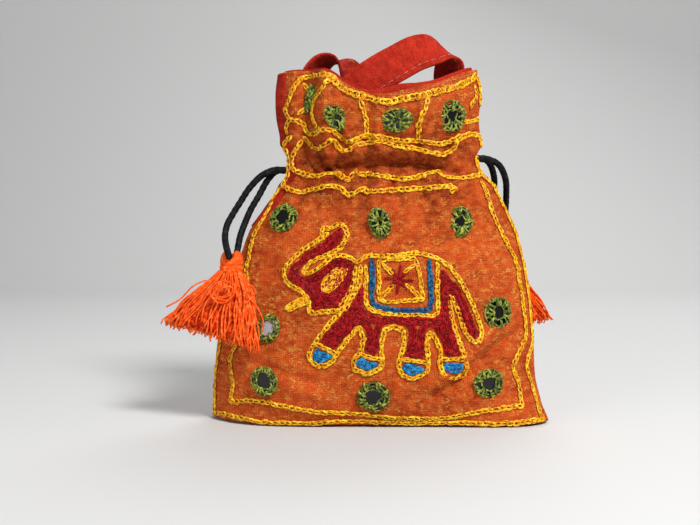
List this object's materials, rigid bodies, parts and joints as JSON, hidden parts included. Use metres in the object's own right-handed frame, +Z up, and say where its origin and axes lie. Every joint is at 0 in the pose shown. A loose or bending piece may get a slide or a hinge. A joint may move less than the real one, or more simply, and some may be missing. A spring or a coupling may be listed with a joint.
{
  "type": "potli bag",
  "caption": "Small gathered drawstring pouch in embroidered cotton, with a flat base, ruffled neck, round mirrors, a chain-stitched elephant, black cords with tassels and a strap handle.",
  "frame": {"origin": "on the table under the middle of the bag, centre of the bag's own box without its cords and tassels", "axes": "+X to the right as the embroidered front is looked at, -Y out of the front, +Z up from the base to the handle"},
  "size_m": [0.2028, 0.0672, 0.1995],
  "materials": {
    "embroidered_cotton": "mottled rust-orange handloom cotton",
    "plain_red_cotton": "plain red slubby cotton",
    "yellow_thread": "glossy rayon chain stitch",
    "red_thread": "glossy rayon chain stitch, filled rows",
    "saddle_blue_thread": "glossy rayon chain stitch",
    "foot_blue_thread": "glossy rayon chain stitch",
    "green_thread": "buttonhole stitch",
    "mirror_glass": "thin hand-cut mirror",
    "tassel_yarn": "bright orange wool yarn",
    "black_cord": "round braided cord"
  },
  "bodies": {
    "root": {"back_panel": "plain_red_cotton", "base_panel": "plain_red_cotton", "border_inner": "yellow_thread", "border_outer": "yellow_thread", "drawcord_left": "black_cord", "drawcord_right": "black_cord", "elephant_back_line": "yellow_thread", "elephant_body": "red_thread", "elephant_ear": "yellow_thread", "elephant_foot_1": "foot_blue_thread", "elephant_foot_2": "foot_blue_thread", "elephant_foot_3": "foot_blue_thread", "elephant_foot_4": "foot_blue_thread", "elephant_head": "red_thread", "elephant_head_line": "yellow_thread", "elephant_leg_line": "yellow_thread", "elephant_trunk_line": "yellow_thread", "elephant_tusk": "yellow_thread", "front_panel": "embroidered_cotton", "handle_strap": "plain_red_cotton", "lining": "plain_red_cotton", "mirror_01": "mirror_glass", "mirror_02": "mirror_glass", "mirror_03": "mirror_glass", "mirror_04": "mirror_glass", "mirror_05": "mirror_glass", "mirror_06": "mirror_glass", "mirror_07": "mirror_glass", "mirror_08": "mirror_glass", "mirror_09": "mirror_glass", "mirror_10": "mirror_glass", "mirror_11": "mirror_glass", "mirror_12": "mirror_glass", "mirror_ring_01": "green_thread", "mirror_ring_02": "green_thread", "mirror_ring_03": "green_thread", "mirror_ring_04": "green_thread", "mirror_ring_05": "green_thread", "mirror_ring_06": "green_thread", "mirror_ring_07": "green_thread", "mirror_ring_08": "green_thread", "mirror_ring_09": "green_thread", "mirror_ring_10": "green_thread", "mirror_ring_11": "green_thread", "mirror_ring_12": "green_thread", "neck_frame": "yellow_thread", "neck_lower": "yellow_thread", "ruffle_divider_1": "yellow_thread", "ruffle_divider_2": "yellow_thread", "ruffle_divider_3": "yellow_thread", "ruffle_divider_4": "yellow_thread", "ruffle_lower": "yellow_thread", "ruffle_top": "yellow_thread", "saddle_band": "saddle_blue_thread", "saddle_border": "yellow_thread", "saddle_square": "yellow_thread", "saddle_star": "red_thread", "tassel_left": "tassel_yarn", "tassel_right": "tassel_yarn"}
  },
  "joints": []
}
